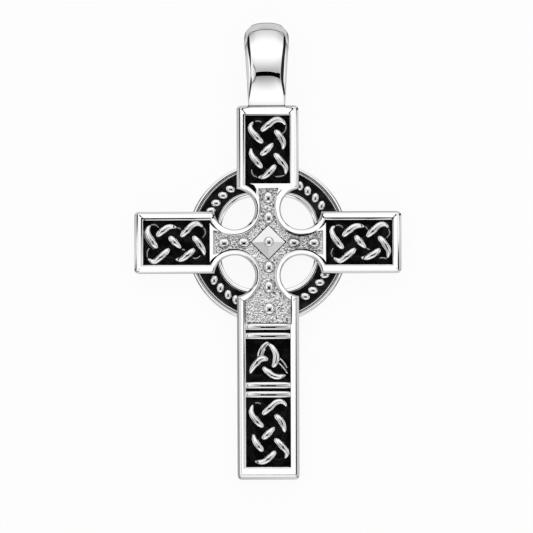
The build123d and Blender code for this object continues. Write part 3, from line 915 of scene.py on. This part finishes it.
stippled = metal("stippled_silver", (0.95, 0.95, 0.955, 1.0), 0.1, 14000.0, 0.00003, 0.85)
grown("hub_field", field_mesh, tree, {"Grain": 4600.0, "Depth": 0.00012, "Material": stippled})
FIELD_LINE = {"width": 0.1, "height": 0.12, "dive": 0.0, "arch": 2.0, "peak": 0.5, "bluntness": 20.0}
strands("field_line", [[(-2.3, -8.84), (0.0, -8.86), (2.3, -8.84)]], FIELD_LEVEL + 0.02, oxide_and_painted_dark, **FIELD_LINE)

# Hub beads: round grains down the middle of the hub's four channels, with a larger one in the foot's field.
# Cast with the plate and polished, they stand in the punched ground.
HUB_BEAD_LEVEL = 1.8
for name, spots, *sizes in (
        ("hub_beads", BEAD_PLACES[:4], 1.12, 1.26, 0.56),
        ("foot_bead", BEAD_PLACES[4:5], 1.28, 1.28, 0.6),
        ("arm_beads", BEAD_PLACES[5:], 1.3, 1.06, 0.54)):
    beads(name, [(x, y, 0) for x, y in spots], *sizes, HUB_BEAD_LEVEL)

# Pyramid: a low four-sided boss with flat sides in the middle of the hub, and a round bead on its tip. Cast
# with the plate and polished; a thin black line is left round its foot.
PYRAMID_REACH, PYRAMID_RISE, PYRAMID_STEP, PYRAMID_EAST = 1.85, 0.56, 0.1, 0.06
corners = np.array([(1, 0.02), (0, 1.02), (-1, 0.02), (0, -0.98)]) * PYRAMID_REACH + (PYRAMID_EAST, 0.0)
bm = bmesh.new()
low, high = ring_of(bm, corners, FIELD_LEVEL - 0.3), ring_of(bm, corners, FIELD_LEVEL + PYRAMID_STEP)
bridge(bm, low, high)
tip = ring_of(bm, [(PYRAMID_EAST, 0.06)], FIELD_LEVEL + PYRAMID_STEP + PYRAMID_RISE)[0]
for i in range(4):
    bm.faces.new((high[i], high[(i + 1) % 4], tip))
bm.faces.new(low[::-1])
piece("pyramid", bm, [silver], crease=12)
bm = bmesh.new()
middle = np.array([PYRAMID_EAST, 0.03])
outside, within = ((corners - middle) * share + middle for share in (1.07, 1.0))
rows = [ring_of(bm, loop, up) for loop, up in (
    (outside, FIELD_LEVEL - 0.2), (outside, FIELD_LEVEL + 0.05),
    (within, FIELD_LEVEL + 0.06), (within, FIELD_LEVEL - 0.2))]
for lower, upper in zip(rows, rows[1:] + rows[:1]):
    bridge(bm, lower, upper)
piece("pyramid_line", bm, [oxide_and_painted_dark])
beads("tip_bead", [(0.1, 0.08, 0)], 1.1, 1.1, 0.54, 2.2)

# Bail: a silver strap bent to a D and soldered to the top of the plate, broad at its crown and narrower at
# its foot. Its front is a polished face between two bevels, which are widest round the crown.
BAIL_WALL, BAIL_HALF, BAIL_ARCH, BAIL_SHIFT = 1.0, 2.45, 1.65, -0.085
BAIL_FOOT, BAIL_SHOULDER, BAIL_FOOT_HALF, BAIL_SPREAD = 14.8, 22.6, 2.0, 0.058
CROWN, WAIST, WAIST_TALL, LINE_WIDER = (18.72, 5.18), 18.3, 1.2, 1.55
ARCH_START, ARCH_TALL, ARCH_POWER = 20.0, 4.2, 2.4

# For each side, the height on the pendant, half the face's width there, and the width of the line beside it.
BAIL_RIGHT = [
    (15.17, 2.0, 0.03), (15.76, 1.91, 0.1), (16.6, 1.77, 0.14), (17.44, 1.63, 0.17), (17.86, 1.57, 0.18),
    (18.28, 1.51, 0.22), (19.12, 1.53, 0.24), (19.97, 1.63, 0.21), (20.8, 1.73, 0.19), (21.65, 1.82, 0.18),
    (22.5, 1.86, 0.18), (23.0, 1.87, 0.16), (23.26, 1.8, 0.1), (23.46, 1.6, 0.05),
]
BAIL_LEFT = [
    (15.17, 1.96, 0.03), (15.76, 1.86, 0.06), (16.6, 1.74, 0.1), (17.44, 1.6, 0.14), (17.86, 1.58, 0.12),
    (18.28, 1.66, 0.05), (19.12, 1.67, 0.05), (19.97, 1.68, 0.11), (20.8, 1.72, 0.17), (21.65, 1.8, 0.18),
    (22.5, 1.85, 0.18), (23.0, 1.87, 0.16), (23.26, 1.8, 0.1), (23.46, 1.6, 0.05),
]

# The width of a leaning strip along the face's left edge, at heights on the pendant.
BAIL_STRIP = [
    (17.55, 0.0), (17.9, 0.18), (18.3, 0.42), (18.8, 0.46), (19.12, 0.34), (19.97, 0.14), (20.5, 0.0),
]


def swung(start, radius, first, last, steps):
    """An arc of the bail's side line, from a point on, between two leans of its surface in degrees."""
    leans = np.radians(np.linspace(first, last, steps + 1))
    y = start[0] + radius * (np.sin(leans) - math.sin(leans[0]))
    z = start[1] + radius * (np.cos(leans) - math.cos(leans[0]))
    return np.stack([y, z], axis=1)


# The side line goes up the front from the foot, over the tightly bent band and the brim, and down the rear.
ridge = np.array([CROWN, (CROWN[0] + 0.012, CROWN[1] - 0.0006)])
front = np.concatenate([ridge, swung(ridge[-1], 8.2, 3.0, 38.0, 30)[1:]])
brim_lean = math.radians(41.0)
brim = front[-1] + np.outer([0.03, 0.07], [math.cos(brim_lean), -math.sin(brim_lean)])
band = np.concatenate([[CROWN], swung((CROWN[0] - 0.012, CROWN[1] - 0.0003), 2.6, -1.2, -12.3, 12)])
skirt = swung(band[-1], 8.0, -12.3, -37.4, 20)
rear = rounded([(*brim[-1], 0), (24.1, 2.72, 0.2), (24.2, 2.4, 0.2), (24.2, 0.0, 0.35), (14.75, 0.0, 0)], 8)
foot = rounded([(*skirt[-1], 0), (14.95, 3.2, 0.05), (14.9, 0.3, 0)], 4)
bail_line = np.concatenate([foot[::-1][:-1], skirt[::-1][:-1], band[::-1][:-1], front, brim, rear[1:-1]])


def bail_arch(x, y):
    """How far a point of the bail lies lower than the middle of its row, and how fast that grows with x."""
    share = min(abs(x) / (BAIL_HALF + 0.01), 0.995)
    rise = min(max((y - ARCH_START) / ARCH_TALL, 0.0), 1.0)
    rise = BAIL_ARCH * rise * rise * (3 - 2 * rise)
    left_over = 1 - share ** ARCH_POWER
    drop = rise * (1 - left_over ** (1 / ARCH_POWER))
    growth = rise * share ** (ARCH_POWER - 1) * left_over ** (1 / ARCH_POWER - 1) / BAIL_HALF
    bump = math.exp(-((y - WAIST) / WAIST_TALL) ** 2) * (0.14 if x > 0 else 0.06)
    reach = min(abs(x), 1.5)
    return drop + bump * reach ** 2, growth + bump * 2 * reach * (abs(x) < 1.5)


def bail_side(side, y, z, lean):
    """Points of half the bail's section, from its middle out, each as across, down and a material's index."""
    table = np.array(BAIL_RIGHT if side > 0 else BAIL_LEFT)
    edge, line = (np.interp(y, table[:, 0], table[:, column]) for column in (1, 2))
    line *= LINE_WIDER
    strip = np.interp(y, *np.transpose(BAIL_STRIP)) if side < 0 else 0.0
    half = BAIL_FOOT_HALF + BAIL_SPREAD * (min(max(y, BAIL_FOOT), BAIL_SHOULDER) - BAIL_FOOT)
    edge = min(edge, half - line - 0.05)
    steep = min(max((z - 1.4) / 1.2, 0.0), 1.0)
    points = [(edge * share, 0.0, BRIGHT) for share in (0.15, 0.3, 0.45, 0.6, 0.7)]
    x, down = edge - strip - 0.02, 0.0
    points.append((x, down, BRIGHT))
    rest = half - edge - line
    # The line beside the face is a steeper facet. High on the bail it gets the near-black silver, a painted
    # reflection. The outer steps and the side wall get the darker copy of the silver, which is painted shade.
    steps = [
        (strip + 0.02, 16, BRIGHT), (0.02, 21, BRIGHT),
        (line - 0.02, 26, PAINTED_DARK if y > 22.3 and z > 3.3 else BRIGHT), (0.02, 28, BRIGHT),
        (rest * 0.3, 31, PAINTED_SHADE if y > 21.7 else BRIGHT), (rest * 0.3, 31, PAINTED_SHADE),
        (rest * 0.25, 31, PAINTED_SHADE), (rest * 0.15 - 0.02, 38, PAINTED_SHADE),
    ]
    for width, tilt, index in steps:
        # The arch already leans a row's outer points, so this much is taken off each step's tilt.
        shear = math.sin(lean) * bail_arch(side * (x + width / 2), y)[1]
        x, down = x + width, down + max(0.0, math.tan(math.radians(tilt)) - shear) * steep * width
        points.append((x, down, index))
    return points + [
        (half, down + 0.08, PAINTED_SHADE), (half, BAIL_WALL - 0.1, PAINTED_SHADE), (half - 0.03, BAIL_WALL - 0.03, BRIGHT),
        (half - 0.1, BAIL_WALL, BRIGHT), (edge * 0.5, BAIL_WALL, BRIGHT),
    ]


bm = bmesh.new()
rows, finishes = [], []
passage = np.array([19.5, 2.2])
tangent = np.roll(bail_line, -1, axis=0) - np.roll(bail_line, 1, axis=0)
normals = np.stack([tangent[:, 1], -tangent[:, 0]], axis=1)
normals /= np.linalg.norm(normals, axis=1)[:, None]
for (y, z), normal in zip(bail_line, normals):
    if (np.array([y, z]) - passage) @ normal < 0:
        normal = -normal
    lean = math.atan2(normal[0], normal[1])
    lean = lean if abs(lean) < 0.8 else 0.0
    right, left = bail_side(1, y, z, lean), bail_side(-1, y, z, lean)
    loop = right + [(-x, down, index) for x, down, index in left[::-1]]
    row = []
    for x, down, _ in loop:
        yy, zz = np.array([y, z]) - normal * down
        row.append(bm.verts.new(((x + BAIL_SHIFT) / 1000, (yy - bail_arch(x, yy)[0]) / 1000, zz / 1000)))
    rows.append(row)
    first, second = ([index for _, _, index in points[1:]] for points in (right, left))
    finishes.append(first + [BRIGHT] + second[::-1] + [BRIGHT])
brim_start = len(bail_line) - len(rear[1:-1]) - len(brim)
# The rear behind the brim gets the darker copy of the silver, which is painted shade. The two rows where the
# face turns over into the brim get the near-black silver, a painted dark reflection line.
for k, (_, z) in enumerate(bail_line):
    finish = finishes[k]
    if brim_start < k and 1.0 < z < 3.45:
        finish = PAINTED_SHADE
    if brim_start - 1 <= k < brim_start + 1:
        finish = PAINTED_DARK
    bridge(bm, rows[k], rows[(k + 1) % len(rows)], finish)
piece("bail", bm, [silver, painted_shade_silver, oxide_and_painted_dark])

# Camera: looks almost straight down on the pendant, from a little below its foot, through a very long lens.
# It stands far off, so that the sides of the arms and of the ring hardly show.
VIEW_TILT, VIEW_ROLL = math.radians(2.0), math.radians(-0.17)
VIEW_DISTANCE, VIEW_WIDTH, SENSOR_WIDTH = 1.2, 0.05863, 36.0
view_middle = Vector((-0.000156, -0.00265, 0.0022))
lens = bpy.data.cameras.new("camera")
lens.sensor_width = SENSOR_WIDTH
lens.lens = SENSOR_WIDTH * VIEW_DISTANCE / VIEW_WIDTH
lens.clip_start, lens.clip_end = 0.05, 10.0
camera = bpy.data.objects.new("camera", lens)
camera.rotation_euler = (VIEW_TILT, 0, VIEW_ROLL)
camera.location = view_middle + camera.rotation_euler.to_matrix() @ Vector((0, 0, VIEW_DISTANCE))
bpy.context.scene.collection.objects.link(camera)
bpy.context.scene.camera = camera

# Studio: a white tent over a pale lit table. Dark gaps in the tent, where the lens looks in and between its
# four panels, and dark strips on its sides are what the polished silver shows as thin black lines. Places in
# the tent are in degrees from its top, to the east and to the north.
TENT_WHITE, TENT_LEVEL, TENT_LEAN = 1.1, 1.0, math.radians(2.6)
LENS_EAST, LENS_NORTH, LENS_HOLE, HALO_REACH = 2.5, -6.5, 13.0, 44.0
STRIP_EAST, STRIP_NORTH, SKYLINE = 52.0, 12.0, 87.0
CARDS = ((-33.0, -30.0, 20.0, 0.4), (33.0, -30.0, 18.0, 0.26))
TABLE_RADIUS, TABLE_DROP, TABLE_GLOW = 3.0, 0.00002, 0.903
world = bpy.data.worlds.new("studio")
world.use_nodes = True
bpy.context.scene.world = world
tree = world.node_tree
tree.nodes.clear()
heading = node(tree, "ShaderNodeTexCoord", output="Generated")
parts = node(tree, "ShaderNodeSeparateXYZ", None, {"Vector": heading})
across, ahead, above = (Wire(tree, parts.socket.node.outputs[i]) for i in range(3))
along = ahead * math.cos(TENT_LEAN) + above * math.sin(TENT_LEAN)
up = above * math.cos(TENT_LEAN) - ahead * math.sin(TENT_LEAN)
polar = up.math("ARCCOSINE", up) * (180 / math.pi)
spread = (across * across + along * along + 1e-9) ** 0.5
east, north = polar * across / spread, polar * along / spread
beside, below = east - LENS_EAST, north - LENS_NORTH
from_lens = (beside * beside + below * below) ** 0.5
frame_out = (abs(beside) ** 4.0 + abs(below) ** 4.0) ** 0.25
hole = frame_out.ramp(LENS_HOLE - 0.7, LENS_HOLE + 0.7, 0.005, 1.0)
halo = from_lens.ramp(LENS_HOLE - 4.0, HALO_REACH, 0.3, 1.0)
lesser = abs(east).math("MINIMUM", abs(east), abs(north))
greater = abs(east).math("MAXIMUM", abs(east), abs(north))
panel_fade = 1.0 - (lesser / (greater + 1.0)) ** 1.5 * polar.ramp(10.0, 35.0) * 0.2
gaps = 1.0
for sign in (1, -1):
    aside = abs(beside + below * sign) * math.sqrt(0.5)
    seam = aside.ramp(1.8, 3.8)
    far = from_lens.ramp(30.0, 36.0)
    gaps = gaps * (1.0 - (1.0 - seam) * (1.0 - far) * 0.95)
flat_north = north - math.degrees(VIEW_TILT + TENT_LEAN)
bright = ((east * east + flat_north * flat_north) ** 0.5).ramp(1.8, 2.9, 1.0, 0.0)
centre = hole * halo * gaps * panel_fade
centre = centre + bright * (1.0 - centre)
strip = abs(abs(east) - STRIP_EAST).ramp(4.2, 7.2)
strip_end = abs(north - STRIP_NORTH).ramp(54.0, 64.0)
strips = 1.0 - (1.0 - strip) * (1.0 - strip_end) * 0.98
west, low_side = (east * -1.0).ramp(0.0, 45.0), (north * -1.0).ramp(0.0, 40.0)
horizon = polar.ramp(56.0, 84.0) * (0.38 + west * 0.03 + low_side * 0.05)
cards = 1.0
for card_east, card_north, reach, shade in CARDS:
    apart = ((east - card_east) ** 2.0 + (north - card_north) ** 2.0) ** 0.5
    cards = cards * (1.0 - apart.ramp(reach - 7.0, reach, shade, 0.0))
skyline = 1.0 - abs(polar - SKYLINE).ramp(1.5, 4.0, 0.35, 0.0)
level = centre * strips * cards * skyline * (1.0 - horizon) * TENT_WHITE
tent = node(tree, "ShaderNodeCombineColor", None, {"Red": level, "Green": level, "Blue": level})
seen = node(tree, "ShaderNodeLightPath", output="Is Camera Ray")
backdrop = mixed(tree, seen, tent, (0.985, 0.985, 0.985, 1.0))
light = node(tree, "ShaderNodeBackground", None, {"Color": backdrop, "Strength": TENT_LEVEL})
node(tree, "ShaderNodeOutputWorld", None, {"Surface": light})

bm = bmesh.new()
bmesh.ops.create_circle(bm, cap_ends=True, segments=96, radius=TABLE_RADIUS)
mesh = bpy.data.meshes.new("table")
bm.to_mesh(mesh)
bm.free()
table = bpy.data.objects.new("table", mesh)
table.location = (0, 0, -TABLE_DROP)
bpy.context.scene.collection.objects.link(table)
paper = bpy.data.materials.new("pale_table")
paper.use_nodes = True
tree = paper.node_tree
tree.nodes.clear()
shader = node(tree, "ShaderNodeBsdfPrincipled", None, {
    "Base Color": (0.12, 0.12, 0.12, 1.0), "Roughness": 1.0, "Specular IOR Level": 0.0,
    "Emission Color": (1.0, 1.0, 1.0, 1.0), "Emission Strength": TABLE_GLOW,
})
node(tree, "ShaderNodeOutputMaterial", None, {"Surface": shader})
mesh.materials.append(paper)
bpy.context.scene.view_settings.view_transform = "Standard"
